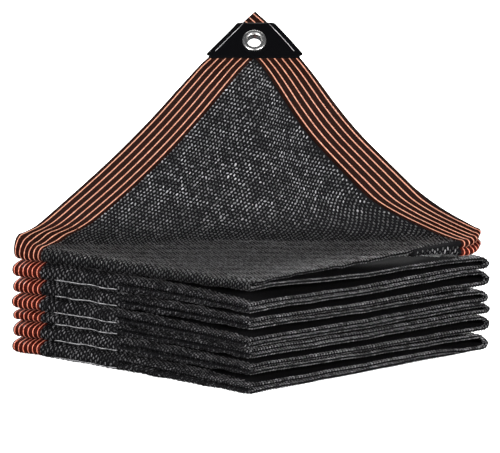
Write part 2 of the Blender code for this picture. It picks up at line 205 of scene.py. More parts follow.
# The far folds end in low points, and the rolled corner bulges twice
TIP_REACH = 2.6
TIP_DROOP = 1.8
LOBE_FROM = 286.0
LOBE_FULL = 312.0
LOBE_NOTCH = 0.75
LOBE_NOTCH_HALF = 0.42
LOBE_BLUNT = 0.7

# Between these shares of the way up, the pull of the edges passes from a smooth step to a straight
# slope across the leaf, which keeps the tapes' inner edges straight towards the lifted corner
APEX_FROM = 0.2
APEX_AT = 0.76

# The end of the last leaf thins out under the one above it
LAST_LEAF_THIN = 314.0
LAST_LEAF_LOSS = 0.93

# The hollow between the two lips of a front fold, from the near corner to where the lower lip begins
LIP_HALF = 1.7
LIP_DEPTH = 6.5
LIP_START = 0.575
LIP_FULL = 0.535

# The knit: one grain of glossy yarn for each stitch
STITCH = 3.9
WALE = 3.53
GRAIN_LONG = 1.35
GRAIN_WIDE = 0.80
GRAIN_HIGH = 0.68
GRAIN_SIDES = 5
GRAIN_RING_AT = 0.52
GRAIN_RING_SIZE = 0.86
GRAIN_TILT = 0.16
GRAIN_TWIST = 0.34
TWIST_SPREAD = 0.3
GRAIN_SPREAD = 0.19
GRAIN_RAISE = 0.12
EDGE_APART = 1.0
KNIT_START = TAPE_WIDTH + EDGE_APART
KNIT_EDGE = WIDTH - TAPE_WIDTH - NET_HALF - EDGE_APART
# Painted shade: where the top leaf lies and in its crease its yarn is darkened to this share, and between
# these two distances from the crease it returns to full brightness
LYING_SHADE_SHARE = 0.12
CREASE_DARK_END = 10.0
CREASE_BRIGHT = 36.0

# Where the stitches end: how far they reach into the folds, past the edges and down behind
FOLD_INSIDE = 12.0
EDGE_INSIDE = 5.0
FOLD_PAST = 4.0
END_SPARE = 2.0
ROLL_SPARE = 6.0
BARE_FROM = -14.0
CREASE_DEPTH = 150.0
BACK_PAST = 90.0

# The pale line along the underside of each front fold: a painted highlight, a raised pale line where the
# fold's lower rim catches the light
FOLD_HIGHLIGHT_START = 0.56
FOLD_HIGHLIGHT_END = 0.82
FOLD_HIGHLIGHT_ANGLE = -50
FOLD_HIGHLIGHT_THICK = 0.8
FOLD_HIGHLIGHT_PROUD = 0.3
FOLD_HIGHLIGHT_STATIONS = 40

# The tape: its wall outside the cloth, and its raised lines
TAPE_OUT = 1.72
TAPE_IN = 1.15
TAPE_SPOTS = 7
LINES = 6
LINE_FIRST = 3.7
LINE_PITCH = 6.3
LINE_HALF = 0.6
LINE_HIGH = 0.40
# Painted bounce light and shade: past these distances along the cloth, in the column of fold ends, the tape
# is painted redder
FOLD_BOUNCE_LIGHT_FROM = DEPTH - 20.0
FOLD_BOUNCE_LIGHT_FULL = DEPTH + 10.0

# The patch and the eyelet, as finer shapes on the same plane
PATCH_COLUMNS = 56
PATCH_TURNS = 11
PATCH_ROWS = 22
PATCH_CHAMFER = 6.5
PATCH_CHAMFER_FROM = 0.92
PATCH_RIDGE = 0.7
PATCH_RIDGE_HALF = 2.4
PATCH_RIDGE_IN = 1.4
PATCH_PUFF = 0.15
PUFFS_ACROSS = 0.11
PUFFS_UP = 0.16
PUFF_START = 1.0
# Painted highlight: pale raised lines beside the patch's folded sides, where their rounding catches the light
PATCH_HIGHLIGHT_INSET = 2.6
PATCH_HIGHLIGHT_PROUD = 0.75
PATCH_HIGHLIGHT_THICK = 0.6
PATCH_HIGHLIGHT_ENDS = 1.0
PATCH_HIGHLIGHT_STATIONS = 16
EYELET_STEPS = 96
EYELET_CROWN = 1.9
CROWN_STEPS = 15
CROWN_BLUNT = 0.8
SEAT_GAP = 0.1
LIP_GAP = 0.2
BARREL_WALL = 0.7
MOUTH_DROP = 0.6

# The section of the eyelet's rolled lip: out from the mouth's wall and up from the lip's foot
LIP_SECTION = ((2.6, 0.0), (2.4, -0.5), (1.2, -0.9), (0.4, -0.6), (0.0, 0.3))


def mix(a, b, share):
    return a + (b - a) * share


def ramp(low, high, value):
    """0 below low and 1 above high, with a smooth rise between."""
    share = np.clip((value - low) / (high - low), 0.0, 1.0)
    return share * share * (3 - 2 * share)


def stack(x, y, z):
    return np.stack(np.broadcast_arrays(x, y, z), axis=-1).astype(float)


def flat_place(depth, width):
    across = depth - DEPTH / 2
    along = width - WIDTH / 2
    x = across * math.cos(TURN) - along * math.sin(TURN)
    y = across * math.sin(TURN) + along * math.cos(TURN)
    return x, y


FAR_CORNER = float(flat_place(DEPTH, WIDTH)[1])


def wave(depth, width, height):
    strength = WAVE_HEIGHT * np.clip(height / WAVE_FULL_AT, 0.0, 1.0)
    across = np.sin(2 * math.pi * WAVES_ACROSS * depth / DEPTH + WAVE_START_ACROSS)
    along = np.sin(2 * math.pi * WAVES_ALONG * width / WIDTH + WAVE_START_ALONG)
    return strength * across * along


def fold_heights(fold, along):
    """The heights of a fold's lower and upper side, at a share of the way to the left corner."""
    rise = np.sin(math.pi * np.clip(along, 0.0, 1.0))
    low = mix(fold.low_near, fold.low_left, along) + fold.low_rise * rise
    high = mix(fold.high_near, fold.high_left, along) + fold.high_rise * rise
    return low, high


def fold_place(fold, at_front, width, turn):
    """Depth and height of the cloth's middle in a fold, for an angle from its upper to its lower leaf."""
    along = width / WIDTH
    low, high = fold_heights(fold, along)
    radius = (high - low - CLOTH) / 2
    sag = DROOP * np.maximum(0.0, 2 * radius - DROOP_FROM) * (1 + np.sin(turn)) / 2
    if at_front and fold is not FRONT_FOLDS[0]:
        sag = sag + SHOULDER * ramp(SHOULDER_FROM, 1.0, along) * max(0.0, math.sin(turn)) ** 2
    out = fold.reach - HALF_CLOTH - radius + radius * np.cos(turn) - sag
    height = (low + high) / 2 + radius * np.sin(turn)
    if not at_front:
        out = out + TIP_REACH * max(0.0, math.cos(turn)) ** 4
        height = height - TIP_DROOP * max(0.0, math.cos(turn)) ** 2
    return (-out if at_front else DEPTH + out), height


def shelf(depth):
    return mix(SHELF_HEIGHT, HALF_CLOTH, ramp(SHELF_FALL_START, SHELF_FALL_END, depth))


def heading(rise):
    up = np.clip((rise + CREASE_HALF) / (2 * CREASE_HALF), 0.0, 1.0)
    back = np.clip((rise - LEAN_BACK_START) / (LEAN_BACK_END - LEAN_BACK_START), 0.0, 1.0)
    return LIFT_ANGLE * up + (PATCH_ANGLE - LIFT_ANGLE) * back


def lift_table():
    """How far back and up the top leaf has gone, for distances behind where its crease starts."""
    rises = np.arange(-CREASE_HALF, FAR_CORNER + LIFT_PAST, LIFT_STEP)
    slopes = heading(rises[:-1] + LIFT_STEP / 2)
    back = -CREASE_HALF + np.concatenate([[0.0], np.cumsum(LIFT_STEP * np.cos(slopes))])
    up = np.concatenate([[0.0], np.cumsum(LIFT_STEP * np.sin(slopes))])
    return rises, back, up


RISES, BACKS, UPS = lift_table()


def lifted(x, rise, height):
    """A spot of the top leaf, taken from its lying place to the lifted one."""
    share = np.maximum(0.0, rise) / FAR_CORNER
    left_inner = np.maximum(PULL_INNER_LEAST, (FAR_CORNER - rise) / math.tan(TURN) - TAPE_ACROSS)
    right_inner = np.maximum(PULL_INNER_LEAST, (FAR_CORNER - rise) * math.tan(TURN) - TAPE_ACROSS)
    near_apex = np.clip((share - APEX_FROM) / (APEX_AT - APEX_FROM), 0.0, 1.0)
    half = np.maximum(PULL_INNER_LEAST, FAR_CORNER - rise)
    left_share = mix(ramp(0.0, left_inner, -x), np.clip(-x / half, 0.0, 1.0), near_apex)
    right_share = mix(ramp(0.0, right_inner, x), np.clip(x / half, 0.0, 1.0), near_apex)
    left = LEFT_PULL * np.sin(math.pi * share ** LEFT_PULL_BEND) * left_share
    right = RIGHT_PULL * ramp(RIGHT_PULL_START, RIGHT_PULL_FULL, rise)
    right = right * (1 - ramp(RIGHT_PULL_FADE, FAR_CORNER, rise))
    sideways = CORNER_SHIFT * share + left - right * right_share
    soft = LEFT_SOFT * ramp(LEFT_SOFT_FROM, LEFT_SOFT_FULL, -x)
    height = height + soft * np.exp(-((rise - LEFT_SOFT_AT) / LEFT_SOFT_HALF) ** 2)
    sideways = np.where(rise > -CREASE_HALF, sideways, 0.0)
    back = np.where(rise > -CREASE_HALF, np.interp(rise, RISES, BACKS), rise)
    return stack(x + sideways, back, height + np.interp(rise, RISES, UPS))


def top_leaf(depth, width):
    start, height = fold_place(FRONT_FOLDS[0], True, width, math.pi / 2)
    height = height + TOP_RISE_RIGHT * ramp(0.0, DEPTH / 2, depth) + wave(depth, width, height)
    height = height - wave(start, width, height) * (1 - ramp(0.0, WAVE_EASE, depth - start))
    return lifted(*flat_place(depth, width), height)


def roll_radius(depth):
    return mix(ROLL_SMALL, ROLL_LARGE, ramp(ROLL_START, DEPTH, depth))


def rolled_under(depth, angle, under):
    """A spot of the top leaf's near right edge, rolled down and under by that angle and distance."""
    radius = roll_radius(depth)
    under = under * mix(ROLL_UNDER_START, 1.0, ramp(ROLL_START, DEPTH, depth))
    notch = LOBE_NOTCH * np.exp(-((angle - math.pi / 2) / LOBE_NOTCH_HALF) ** 2)
    lobes = np.abs(np.sin(2 * angle)) ** LOBE_BLUNT - notch
    bulge = mix(np.sin(angle), lobes, ramp(LOBE_FROM, LOBE_FULL, depth))
    out = ROLL_FLAT * radius * bulge - under
    side_x = math.sin(TURN)
    side_y = -math.cos(TURN)
    edge = top_leaf(depth, 0.0)
    return edge + stack(side_x * out, side_y * out, -radius * (1 - np.cos(angle)))


Row = namedtuple("Row", "kind leaf share")


def strip_rows():
    """The rows across the cloth, from the free end of its top leaf to the end of the last leaf."""
    rows = [Row("top", 0, depth) for depth in np.linspace(DEPTH - GAP, TOP_LEAF_START, TOP_ROWS)]
    for leaf in range(1, LAST_LEAF + 1):
        rows += [Row("fold", leaf - 1, math.radians(angle)) for angle in FOLD_ANGLES]
        rows += [Row("leaf", leaf, step / LEAF_ROWS) for step in range(1, LEAF_ROWS)]
    rows.append(Row("leaf", LAST_LEAF, 1.0))
    return rows


def last_leaf_share(depth):
    """The share of its thickness that the last leaf keeps, down to nearly nothing at its end."""
    return 1 - LAST_LEAF_LOSS * ramp(LAST_LEAF_END, LAST_LEAF_THIN, depth)


def strip_place(row, width):
    """Where the middle of the cloth lies, for one row across it."""
    if row.kind == "top":
        return top_leaf(row.share, width)
    if row.kind == "fold":
        at_front = row.leaf % 2 == 0
        fold = FRONT_FOLDS[row.leaf // 2] if at_front else BACK_FOLDS[row.leaf // 2]
        depth, height = fold_place(fold, at_front, width, row.share)
    else:
        from_front = row.leaf % 2 == 1
        fold = FRONT_FOLDS[row.leaf // 2] if from_front else BACK_FOLDS[row.leaf // 2 - 1]
        depth, height = fold_place(fold, from_front, width, -math.pi / 2)
        if row.leaf == LAST_LEAF:
            end_depth, end_height = LAST_LEAF_THIN, height
        else:
            other = BACK_FOLDS[row.leaf // 2] if from_front else FRONT_FOLDS[row.leaf // 2]
            end_depth, end_height = fold_place(other, not from_front, width, math.pi / 2)
        depth = mix(depth, end_depth, row.share)
        height = mix(height, end_height, row.share)
        if row.leaf == LAST_LEAF - 1:
            height = np.maximum(height, shelf(depth))
        if row.leaf == LAST_LEAF:
            height = HALF_CLOTH * last_leaf_share(depth)
    x, y = flat_place(depth, width)
    if row.kind == "fold" and row.leaf == 0:
        share = (1 + math.sin(row.share)) / 2
        return mix(stack(x, y, height), lifted(x, y, height), share)
    return stack(x, y, height + wave(depth, width, height - CLOTH))


def columns():
    """Places across the width, closer where the lower lip of the front folds begins."""
    plain = np.arange(0.0, WIDTH, COLUMN_STEP)
    close = np.linspace(LIP_FULL * WIDTH, LIP_START * WIDTH, LIP_COLUMNS)
    tape = np.array([SIDE_TAPE_EDGE, WIDTH - HALF_CLOTH, WIDTH])
    return np.unique(np.round(np.concatenate([plain, close, tape]), 3))


def lip_hollow(row, width):
    """How far the cloth is drawn in between the two lips of a front fold."""
    if row.kind != "fold" or row.leaf % 2 or row.leaf == 0:
        return np.zeros_like(width)
    along = width / WIDTH
    low, high = fold_heights(FRONT_FOLDS[row.leaf // 2], along)
    off = (high - low) / 2 * math.sin(row.share)
    reach = 1 - ramp(LIP_FULL, LIP_START, along)
    return LIP_DEPTH * reach * np.exp(-(off / LIP_HALF) ** 2)


def patch_frame():
    """The plane of the lifted corner at the eyelet: its centre, slope and face directions."""
    spot = top_leaf(np.array([DEPTH - TAPE_WIDTH / 2]), np.array([WIDTH - TAPE_WIDTH / 2]))[0]
    _, rise = flat_place(DEPTH - TAPE_WIDTH / 2, WIDTH - TAPE_WIDTH / 2)
    lying = spot[2] - np.interp(rise, RISES, UPS)
    centre = lifted(np.array([0.0]), np.array([EYELET_AT]), lying)[0]
    slope = np.array([0.0, math.cos(PATCH_ANGLE), math.sin(PATCH_ANGLE)])
    face = np.array([0.0, -math.sin(PATCH_ANGLE), math.cos(PATCH_ANGLE)])
    return centre, slope, face


def on_patch_plane(x, rise):
    """Spots on the plane of the lifted corner, by x and by the distance behind the crease."""
    centre, slope, _ = patch_frame()
    off = rise - EYELET_AT
    return stack(x, centre[1] + slope[1] * off, centre[2] + slope[2] * off)


def cloth_edges(rise):
    """The left and right edges of the lifted leaf at that distance behind the crease."""
    left = lifted(-(FAR_CORNER - rise) / math.tan(TURN), rise, 0.0)
    right = lifted((FAR_CORNER - rise) * math.tan(TURN), rise, 0.0)
    return left[..., 0], right[..., 0]


def ring_faces(rows, around):
    """Faces over a grid that closes on itself both ways."""
    i, j = np.meshgrid(np.arange(rows), np.arange(around), indexing="ij")
    after_i, after_j = (i + 1) % rows, (j + 1) % around
    corners = [i * around + j, i * around + after_j, after_i * around + after_j, after_i * around + j]
    return np.stack(corners, axis=-1).reshape(-1, 4)


def corner_patch(material):
    """The plastic patch folded over the lifted corner: a thin wall round the cloth, its corners cut."""
    _, _, face = patch_frame()
    across = np.linspace(-1.0, 1.0, PATCH_COLUMNS)
    turns = np.linspace(math.pi / 2, -math.pi / 2, PATCH_TURNS)[1:-1]
    span = np.concatenate([across, np.ones(len(turns)), across[::-1], -np.ones(len(turns))])
    out = np.concatenate([0 * across, np.cos(turns), 0 * across, -np.cos(turns)])
    up = np.concatenate([1 + 0 * across, np.sin(turns), -1 + 0 * across, np.sin(turns[::-1])])
    past = (np.abs(span) - PATCH_CHAMFER_FROM) / (1 - PATCH_CHAMFER_FROM)
    edge = PATCH_CHAMFER * np.clip(past, 0.0, 1.0)
    share = np.linspace(0.0, 1.0, PATCH_ROWS)

    def wall(offset):
        rise = mix(PATCH_LOW + edge[None, :], PATCH_HIGH, share[:, None])
        left, right = cloth_edges(rise)
        middle, half = (left + right) / 2, (right - left) / 2 + PATCH_SIDE_GAP
        x = middle + span * half
        ridge = np.exp(-((1 - np.abs(span)) * half / PATCH_RIDGE_HALF - PATCH_RIDGE_IN) ** 2)
        reach = PATCH_MIDDLE + offset
        proud = reach * up + PATCH_RIDGE * ridge * np.sign(up) * (np.abs(span) < 1)
        puffed = PATCH_PUFF * np.sin(PUFFS_ACROSS * x) * np.sin(PUFFS_UP * (rise - EYELET_AT) + PUFF_START)
        spot = on_patch_plane(x + reach * out, rise)
        return spot + (proud + puffed * np.sign(up))[..., None] * face

    outer, inner = wall(PATCH_WALL / 2), wall(-PATCH_WALL / 2)
    rows = np.concatenate([outer, inner[::-1]])
    points = rows.reshape(-1, 3)
    faces = ring_faces(len(rows), len(span))
    points, faces, place = clear_of_eyelet(points, faces, points)
    return mesh_piece("patch", points, faces, material, place)


def patch_highlight_lines(material):
    """Painted highlight: the raised pale lines on the patch beside both of its folded sides, front and back,
    where the rounded folds catch the light.
    """
    _, _, face = patch_frame()
    across, up = line_profile()
    rise = np.linspace(PATCH_LOW + PATCH_CHAMFER + PATCH_HIGHLIGHT_ENDS, PATCH_HIGH - PATCH_HIGHLIGHT_ENDS, PATCH_HIGHLIGHT_STATIONS)
    shape = Shape()
    for edge, inward in zip(cloth_edges(rise), (PATCH_HIGHLIGHT_INSET, -PATCH_HIGHLIGHT_INSET)):
        for side in (1, -1):
            height = side * (PATCH_MIDDLE + PATCH_WALL / 2 + PATCH_HIGHLIGHT_PROUD + PATCH_HIGHLIGHT_THICK * up)
            x = edge[:, None] + inward + PATCH_HIGHLIGHT_THICK * across[None, :]
            points = on_patch_plane(x, rise[:, None]) + height[None, :, None] * face
            shape.loft(points, flip=side > 0)
    return shape.piece("patch_highlight_lines", material)


def eyelet(material):
    """The flange, mouth, barrel and lip of the eyelet, turned round its axis."""
    centre, slope, face = patch_frame()
    side = np.cross(slope, face)
    seat = PATCH_MIDDLE + PATCH_WALL / 2 + SEAT_GAP
    back = -(seat + WASHER + LIP_GAP)
    barrel = [(EYELET_HOLE + BARREL_WALL, seat), (EYELET_HOLE + BARREL_WALL, back)]
    lip = [(EYELET_HOLE + out, back + up) for out, up in LIP_SECTION]
    mouth = [(EYELET_HOLE, seat - MOUTH_DROP)]
    turns = np.linspace(0.0, math.pi, CROWN_STEPS)
    half = (EYELET_FLANGE - EYELET_HOLE) / 2
    flange = [
        (EYELET_HOLE + half - half * math.cos(turn), seat + EYELET_CROWN * math.sin(turn) ** CROWN_BLUNT)
        for turn in turns
    ]
    profile = np.array(barrel + lip + mouth + flange)
    around = np.linspace(0.0, 2 * math.pi, EYELET_STEPS, endpoint=False)
    ring = np.cos(around)[:, None, None] * side + np.sin(around)[:, None, None] * slope
    points = centre + profile[None, :, :1] * ring + profile[None, :, 1:] * face
    faces = ring_faces(EYELET_STEPS, len(profile))
    flat = points.reshape(-1, 3)
    return mesh_piece("eyelet_ring", flat, faces, material, flat)


def unit(vectors):
    return vectors / np.maximum(np.linalg.norm(vectors, axis=-1, keepdims=True), 1e-9)


def ripple(along, across):
    total = np.zeros(np.broadcast(along, across).shape)
    for part in RIPPLES:
        total += part.height * np.sin(2 * math.pi * (along / part.along + across / part.across) + part.start)
    return total


Grid = namedtuple("Grid", "rows along across middle normal")


def path_along(middle):
    """The distance along a grid at each of its rows, as the mean over its columns."""
    steps = np.linalg.norm(np.diff(middle, axis=0), axis=-1).mean(axis=1)
    return np.concatenate([[0.0], np.cumsum(steps)])


def upper_side(middle):
    """The direction of the upper side of a grid whose columns run by depth."""
    return unit(np.cross(np.gradient(middle, axis=1), -np.gradient(middle, axis=0)))


def cloth_grid():
    """The middle of the whole cloth and its upper side's direction, by distance along and across."""
    rows = strip_rows()
    across = columns()
    middle = np.array([strip_place(row, across) for row in rows])
    along = path_along(middle)
    by_row = np.gradient(middle, along, axis=0)
    by_column = np.gradient(middle, across, axis=1)
    normal = unit(np.cross(by_column, by_row))
    hollow = np.array([lip_hollow(row, across) for row in rows])
    bumps = ripple(along[:, None], across[None, :])
    middle = middle + normal * (bumps - hollow)[..., None]
    return Grid(rows, along, across, middle, normal)


def on_grid(grid, along, across, height):
    """Points at a distance along and across the cloth and a height over its middle."""
    i = np.clip(np.searchsorted(grid.along, along) - 1, 0, len(grid.along) - 2)
    j = np.clip(np.searchsorted(grid.across, across) - 1, 0, len(grid.across) - 2)
    a = ((along - grid.along[i]) / (grid.along[i + 1] - grid.along[i]))[..., None]
    b = ((across - grid.across[j]) / (grid.across[j + 1] - grid.across[j]))[..., None]

    def blend(values):
        near = mix(values[i, j], values[i + 1, j], a)
        far = mix(values[i, j + 1], values[i + 1, j + 1], a)
        return mix(near, far, b)

    return blend(grid.middle) + unit(blend(grid.normal)) * height[..., None]


def over_grid(along, across, height):
    """The three as arrays of one size, a row for each place along and a column for each spot across."""
    return np.broadcast_arrays(along[:, None], across[None, :], height[None, :])


def round_edge(reach, height):
    """Across and height of points that go over the upper side, round the near right edge and under it.

    Reach is the distance from where the rounding starts: positive on the upper side, and past the
    half circle it lies on the underside.
    """
    half = math.pi * NET_HALF
    turn = np.clip(-reach / NET_HALF, 0.0, math.pi)
    over = np.maximum(reach, 0.0) + np.maximum(-reach - half, 0.0)
    out = NET_HALF + height
    return NET_HALF + over - out * np.sin(turn), out * np.cos(turn)


def clear_of_eyelet(points, faces, place):
    """What is left of a mesh once the faces at the eyelet's hole are taken away."""
    centre, _, face = patch_frame()
    off = points - centre
    up = off @ face
    out = np.linalg.norm(off - up[:, None] * face, axis=1)
    inside = (out < EYELET_CLEAR) & (np.abs(up) < TAPE_WIDTH)
    if not inside.any():
        return points, faces, place
    kept = faces[~inside[faces].any(axis=1)]
    kept = np.concatenate([kept, rim_faces(points, kept)])
    used, renumbered = np.unique(kept, return_inverse=True)
    return points[used], renumbered.reshape(kept.shape), place[used]


def rim_faces(points, faces):
    """Faces that join the two walls of a sheet round the hole cut through both."""
    starts, ends = faces.ravel(), np.roll(faces, -1, axis=1).ravel()
    known = set(zip(starts.tolist(), ends.tolist()))
    loose = [(a, b) for a, b in known if (b, a) not in known]
    spots = np.unique(np.array(loose))
    gaps = np.linalg.norm(points[spots][:, None] - points[spots][None], axis=2) + np.eye(len(spots)) * WIDTH
    mate = dict(zip(spots.tolist(), spots[gaps.argmin(axis=1)].tolist()))
    pairs = [(b, a, mate[a], mate[b]) for a, b in sorted(loose) if a < mate[a] and b < mate[b]]
    return np.array([pair for pair in pairs if len(set(pair)) == 4]).reshape(-1, 4)


def mesh_piece(name, points, faces, material, place=None):
    """A smooth mesh from points in millimetres and faces of one size, with its place on the cloth kept."""
    mesh = bpy.data.meshes.new(name)
    mesh.vertices.add(len(points))
    mesh.vertices.foreach_set("co", (points * MM).astype(np.float32).ravel())
    corners = faces.shape[1]
    mesh.loops.add(faces.size)
    mesh.loops.foreach_set("vertex_index", faces.astype(np.int32).ravel())
    mesh.polygons.add(len(faces))
    mesh.polygons.foreach_set("loop_start", np.arange(0, faces.size, corners, dtype=np.int32))
    mesh.polygons.foreach_set("use_smooth", np.ones(len(faces), dtype=bool))
    if place is not None:
        kept = mesh.attributes.new("place", "FLOAT_VECTOR", "POINT")
        kept.data.foreach_set("vector", place.astype(np.float32).ravel())
    mesh.update(calc_edges=True)
    mesh.materials.append(material)
    piece = bpy.data.objects.new(name, mesh)
    bpy.context.scene.collection.objects.link(piece)
    return piece


def loft_faces(count, around, first=0):
    """Four-cornered faces over rows of closed loops, with both ends closed by strips across them."""
    row = np.arange(count - 1)[:, None] * around
    spot = np.arange(around)[None, :]
    after = (spot + 1) % around
    sides = np.stack([row + spot, row + after, row + around + after, row + around + spot], axis=-1)
    half = around // 2
    k = np.arange(half - 1)
    cap = np.stack([k, around - 1 - k, around - 2 - k, k + 1], axis=-1)
    end = cap[:, ::-1] + (count - 1) * around
    return np.concatenate([sides.reshape(-1, 4), cap, end]) + first


class Shape:
    """Lofts gathered into one mesh."""

    def __init__(self):
        self.points = []
        self.faces = []
        self.place = []
        self.count = 0

    def loft(self, points, place=None, flip=False):
        count, around = points.shape[:2]
        faces = loft_faces(count, around, self.count)
        self.faces.append(faces[:, ::-1] if flip else faces)
        self.points.append(points.reshape(-1, 3))
        if place is None:
            place = points
        self.place.append(place.reshape(-1, 3))
        self.count += count * around

    def piece(self, name, material, cut=False):
        parts = [np.concatenate(part) for part in (self.points, self.faces, self.place)]
        points, faces, place = clear_of_eyelet(*parts) if cut else parts
        return mesh_piece(name, points, faces, material, place)


def loop_across(start, end, height, in_tape, tape_height):
    """Across and height for a closed loop round the cloth, from its far edge over the top and back."""
    across = columns()
    across = across[(across > start + NET_HALF) & (across < end - NET_HALF)]
    turns = np.linspace(0.0, math.pi, EDGE_STEPS)
    tall = np.where(across > in_tape, tape_height, height)
    near_across = start + height - height * np.sin(turns)
    near_height = height * np.cos(turns)
    far_across = end - tape_height + tape_height * np.sin(turns)
    far_height = -tape_height * np.cos(turns)
    wide = np.concatenate([across[::-1], near_across, across, far_across])
    high = np.concatenate([tall[::-1], near_height, -tall, far_height])
    return wide, high


def thinning(grid):
    """The share of the cloth's thickness at each row, 1 but for the last leaf's end."""
    front = FRONT_FOLDS[-1]
    start, _ = fold_place(front, True, WIDTH / 2, -math.pi / 2)
    depth = np.array([
        mix(start, LAST_LEAF_THIN, row.share) if row.kind == "leaf" and row.leaf == LAST_LEAF else 0.0
        for row in grid.rows
    ])
    return last_leaf_share(depth)


def net_ground(grid, material):
    """The ground of the knit, one closed sheet through every leaf and fold."""
    wide, high = loop_across(0.0, WIDTH, NET_HALF, SIDE_TAPE_EDGE, NET_IN_TAPE)
    along, across, height = over_grid(grid.along, wide, high)
    depth = np.array([row.share if row.kind == "top" else 0.0 for row in grid.rows])
    height = np.where(depth[:, None] > END_TAPE_EDGE, np.clip(height, -NET_IN_TAPE, NET_IN_TAPE), height)
    height *= thinning(grid)[:, None]
    points = on_grid(grid, along, across, height)
    shape = Shape()
    shape.loft(keep_off_floor(points), stack(along, across, height))

    depths = np.linspace(ROLL_START, END_TAPE_EDGE + TAPE_WIDTH / 2, ROLL_STATIONS)
    shape.loft(*rolled_sheet(depths, NET_HALF))
    return shape.piece("net_ground", material, cut=True)


def keep_off_floor(points):
    points[..., 2] = np.maximum(points[..., 2], FLOOR_GAP)
    return points


def roll_path():
    """Angles and distances under, from the edge of the top leaf round the roll and inwards."""
    angles = np.radians(np.linspace(0.0, 180.0, ROLL_STEPS))
    turned = np.concatenate([angles, np.full(UNDER_STEPS, math.pi)])
    under = np.concatenate([np.zeros(ROLL_STEPS), np.linspace(0.0, ROLL_UNDER, UNDER_STEPS + 1)[1:]])
    return turned, under


def rolled_middle(depths):
    """The middle of the rolled edge, a row for each step round the roll."""
    return np.array([rolled_under(depths, angle, inward) for angle, inward in zip(*roll_path())])


def rolled_sheet(depths, half):
    """The rolled part of the top leaf as loops round each of its stations, with their places."""
    turned, under = roll_path()
    middle = rolled_middle(depths)
    normal = upper_side(middle)
    upper = middle + normal * half
    lower = middle - normal * half
    loops = np.concatenate([upper, lower[:, ::-1]], axis=1)
    spots = np.concatenate([depths, depths[::-1]])
    return loops, stack(DEPTH - spots[None, :], -ROLL_PLACE * turned[:, None] - under[:, None], 0.0)


def tape_loop(edge):
    """Across and height for a closed loop of tape, folded over the cloth's edge at that place."""
    bend = edge - TAPE_OUT
    spots = np.linspace(edge - TAPE_WIDTH, bend, TAPE_SPOTS)
    turns = np.linspace(0.0, math.pi, TAPE_SPOTS)[1:-1]
    walls = []
    for reach in (TAPE_OUT, TAPE_IN):
        side = np.full(TAPE_SPOTS, reach)
        wide = np.concatenate([spots, bend + reach * np.sin(turns), spots[::-1]])
        walls.append((wide, np.concatenate([side, reach * np.cos(turns), -side])))
    (out_wide, out_high), (in_wide, in_high) = walls
    return np.concatenate([out_wide, in_wide[::-1]]), np.concatenate([out_high, in_high[::-1]])


def folded_tape(name, grid, along, edge, material, flip=False):
    """A striped tape folded over an edge of the cloth, through those distances along it."""
    along, across, height = over_grid(along, *tape_loop(edge))
    points = keep_off_floor(on_grid(grid, along, across, height))
    shape = Shape()
    shape.loft(points, stack(along, edge - across, height), flip)
    return shape.piece(name, material, cut=True)


def side_rows(grid):
    """The distances along the cloth that the side tape passes, from the end tape's inner edge on."""
    keep = np.array([row.kind != "top" or row.share < END_TAPE_EDGE - GAP for row in grid.rows])
    return grid.along[keep]


def line_profile():
    """Offsets across and up of a raised line, as a closed loop."""
    across = LINE_HALF * np.array([-1.0, -0.62, 0.0, 0.62, 1.0, 0.0])
    up = LINE_HIGH * np.array([0.0, 0.72, 1.0, 0.72, 0.0, -0.5])
    return across, up


def end_grid():
    """The middle of the end tape, from the far corner to the right one and round the roll under it."""
    widths = np.concatenate([[WIDTH - GAP], np.arange(WIDTH - END_STEP_FROM, 0.0, -END_STEP)])
    depths = np.linspace(DEPTH - TAPE_WIDTH, DEPTH - GAP, ROLL_STATIONS)
    lines = [top_leaf(depths, width) for width in widths]
    middle = np.concatenate([np.array(lines), rolled_middle(depths)])
    return Grid(None, path_along(middle), depths, middle, upper_side(middle))


def roll_grid():
    """The middle of the rolled edge at the right corner, by distance round the roll and by depth."""
    depths = np.linspace(ROLL_START, END_TAPE_EDGE, ROLL_STATIONS)
    middle = rolled_middle(depths)
    return Grid(None, path_along(middle), depths, middle, upper_side(middle))


def runs_off_eyelet(points):
    """The stretches of a line's stations that stay clear of the eyelet's hole, each of two or more."""
    centre, _, face = patch_frame()
    off = points.mean(axis=1) - centre
    off = off - (off @ face)[:, None] * face
    clear = np.linalg.norm(off, axis=1) > EYELET_CLEAR + LINE_HALF
    runs = np.split(np.arange(len(clear)), np.flatnonzero(np.diff(clear)) + 1)
    return [run for run in runs if clear[run[0]] and len(run) > 1]


def tape_lines(name, grid, along, edge, material):
    """The raised lines of a tape, on both sides of the cloth, left out at the eyelet's hole."""
    across, up = line_profile()
    shape = Shape()
    for k in range(LINES):
        centre = edge - LINE_FIRST - k * LINE_PITCH
        for side in (1, -1):
            places = over_grid(along, centre + across, side * (TAPE_OUT + up))
            points = keep_off_floor(on_grid(grid, *places))
            for run in runs_off_eyelet(points):
                shape.loft(points[run], stack(*places)[run], flip=side < 0)
    return shape.piece(name, material)


def grain_points():
    """One stitch: a grain with a ring of corners near each end."""
    corners = [(-GRAIN_LONG, 0.0, 0.0)]
    for end in (-1, 1):
        for k in range(GRAIN_SIDES):
            turn = 2 * math.pi * (k + 0.5) / GRAIN_SIDES + math.pi / 2
            corners.append((
                end * GRAIN_LONG * GRAIN_RING_AT,
                GRAIN_WIDE * GRAIN_RING_SIZE * math.cos(turn),
                GRAIN_HIGH * GRAIN_RING_SIZE * math.sin(turn),
            ))
    corners.append((GRAIN_LONG, 0.0, 0.0))
    return np.array(corners)


def grain_faces():
    n = GRAIN_SIDES
    last = 2 * n + 1
    faces = []
    for k in range(n):
        a, b = 1 + k, 1 + (k + 1) % n
        c, d = a + n, b + n
        faces += [(0, b, a), (a, b, d), (a, d, c), (c, d, last)]
    return np.array(faces)


